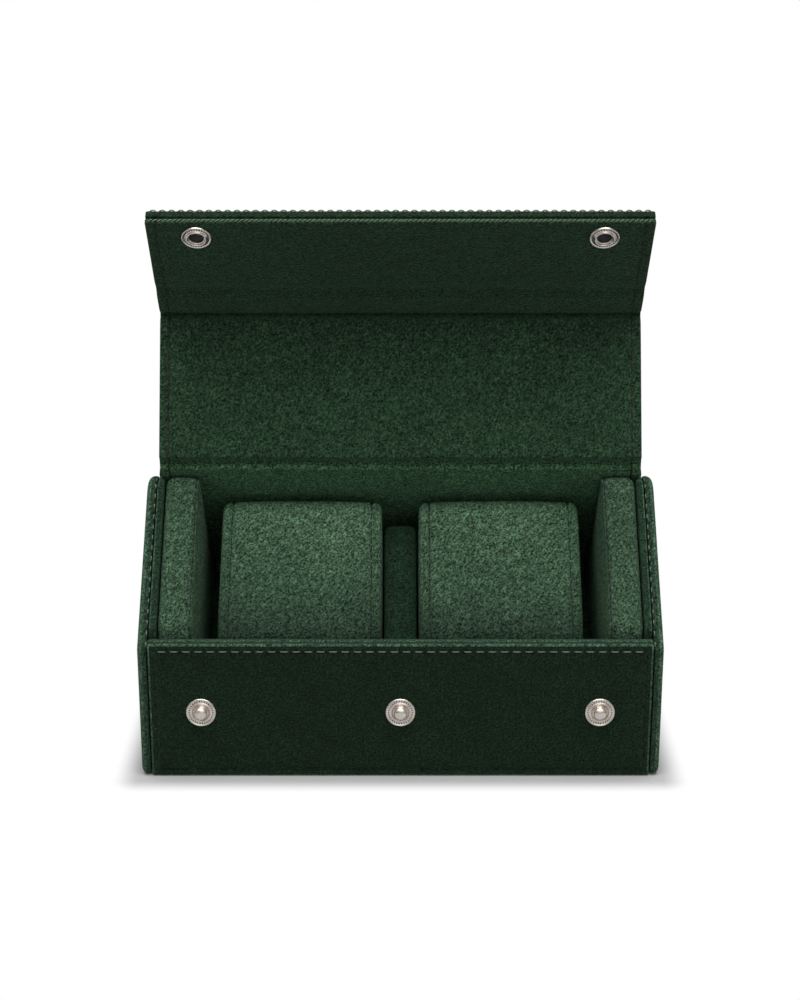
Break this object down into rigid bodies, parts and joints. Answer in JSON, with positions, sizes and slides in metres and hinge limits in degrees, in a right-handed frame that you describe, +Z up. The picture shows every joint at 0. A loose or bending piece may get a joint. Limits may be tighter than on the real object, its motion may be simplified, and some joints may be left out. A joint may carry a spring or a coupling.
{
  "type": "watch travel case",
  "caption": "House-shaped travel case with a folding snap-down lid, padded ends and lift-out pillows that hold wristwatches.",
  "frame": {"origin": "middle of the flat base, on the surface the case stands on, centred between the stud heads in front and the rear wall", "axes": "+X to the right along the case, +Y from the front wall to the back, +Z up"},
  "size_m": [0.19, 0.1084, 0.202],
  "materials": {
    "outer_cover": "dark green suede cloth over board",
    "end_cover": "dark green suede cloth over board, stitched edge",
    "lining": "green suede lining",
    "pad_cover": "green suede over foam",
    "pillow_cover": "green suede over foam, seamed",
    "foam": "bare foam",
    "snap_metal": "warm nickel plate",
    "rivet_metal": "plain nickel plate"
  },
  "bodies": {
    "case": {"front_panel": "outer_cover", "front_lining": "lining", "bottom_board": "outer_cover", "floor_lining": "lining", "rear_panel": "outer_cover", "rear_lining": "lining", "rear_slope_panel": "outer_cover", "rear_slope_lining": "lining", "end_plate_left": "end_cover", "end_plate_right": "end_cover", "end_layer_left": "lining", "end_layer_right": "lining", "end_pad_left": "pad_cover", "end_pad_right": "pad_cover", "cradle_ramp": "lining", "cradle_toe": "lining", "divider": "lining", "ridge_roll": "outer_cover", "snap_studs": "snap_metal", "stud_rivets": "rivet_metal"},
    "lid_main": {"lid_main_board": "outer_cover", "lid_main_lining": "lining", "fold_roll": "outer_cover"},
    "lid_strip": {"lid_strip_board": "outer_cover", "lid_strip_lining": "lining", "eave_roll": "outer_cover"},
    "lid_flap": {"lid_flap_board": "outer_cover", "lid_flap_lining": "lining", "snap_sockets": "snap_metal", "socket_caps": "snap_metal"},
    "pillow_left": {"pillow_band_left": "pillow_cover", "pillow_ends_left": "pillow_cover", "pillow_core_left": "foam"},
    "pillow_right": {"pillow_band_right": "pillow_cover", "pillow_ends_right": "pillow_cover", "pillow_core_right": "foam"}
  },
  "joints": [
    {"name": "lid_hinge", "type": "hinge", "parent": "case", "child": "lid_main", "pos_m": [0, -0.00257, 0.10612], "axis": [-1, 0, 0], "range_deg": [-157.5, 20]},
    {"name": "lid_fold", "type": "hinge", "parent": "lid_main", "child": "lid_strip", "pos_m": [0, 0.01746, 0.15885], "axis": [1, 0, 0], "range_deg": [-59.9, 7.7]},
    {"name": "flap_fold", "type": "hinge", "parent": "lid_strip", "child": "lid_flap", "pos_m": [0, 0.0025, 0.17732], "axis": [-1, 0, 0], "range_deg": [-43.3, 8]},
    {"name": "pillow_left_lift", "type": "slide", "parent": "case", "child": "pillow_left", "axis": [0, -0.7278, 0.6858], "range_m": [0, 0.075]},
    {"name": "pillow_right_lift", "type": "slide", "parent": "case", "child": "pillow_right", "axis": [0, -0.7278, 0.6858], "range_m": [0, 0.075]}
  ],
  "couplings": [
    {"joint": "lid_fold", "follows": "lid_hinge", "ratio": 0.37968}
  ]
}
